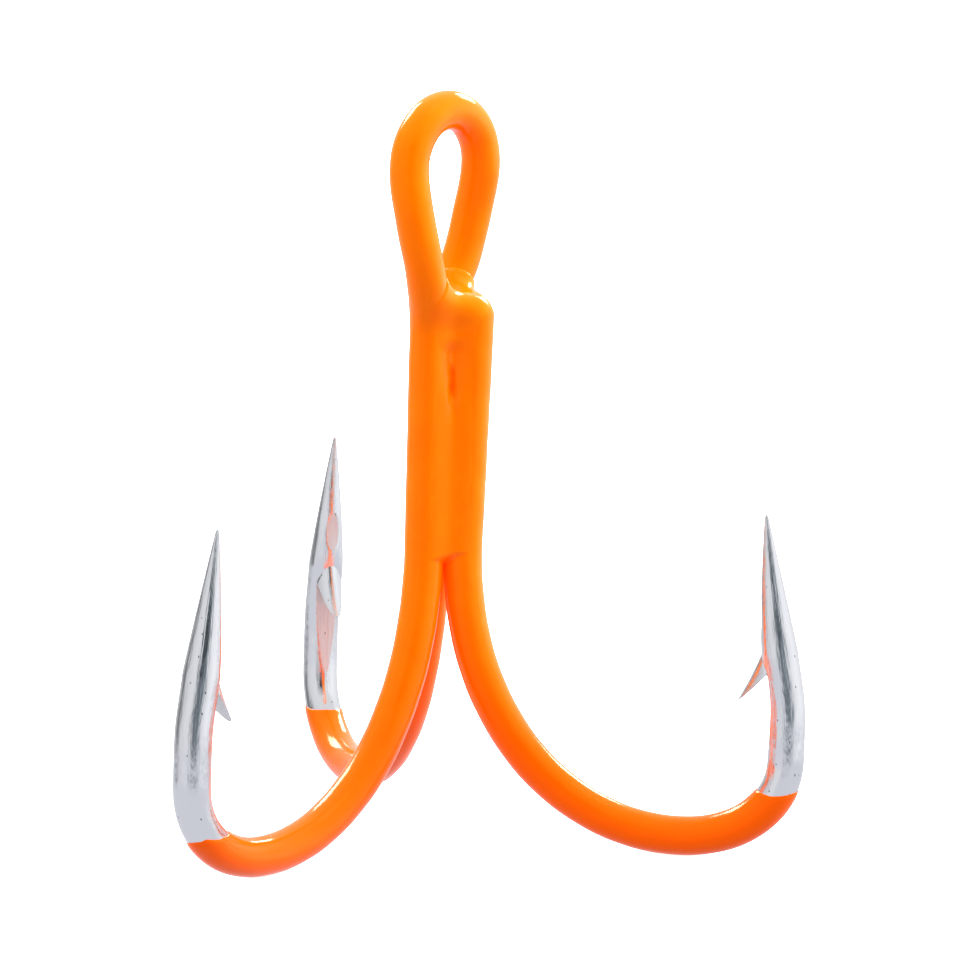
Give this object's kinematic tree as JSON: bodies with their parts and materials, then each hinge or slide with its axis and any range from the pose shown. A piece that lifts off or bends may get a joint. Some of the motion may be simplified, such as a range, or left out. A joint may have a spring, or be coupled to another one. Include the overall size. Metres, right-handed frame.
{
  "type": "treble hook",
  "caption": "Treble fishing hook with barbed points, a painted shank and bends, and an eye that a ring or line joins to a lure.",
  "frame": {"origin": "where a ring bears, at the inside top of the eye", "axes": "+Z along the shank towards the eye; the eye's loop lies in the YZ plane with its hole along X; one hook points along -Y"},
  "size_m": [0.0411, 0.0354, 0.0462],
  "materials": {
    "hook_steel": "bright tinned high-carbon steel wire",
    "braze": "braze metal, hidden under the paint",
    "paint": "gloss fluorescent orange coating"
  },
  "bodies": {
    "root": {"double_hook_wire": "hook_steel", "single_hook_wire": "hook_steel", "braze_seam": "braze", "orange_paint": "paint"}
  },
  "joints": []
}
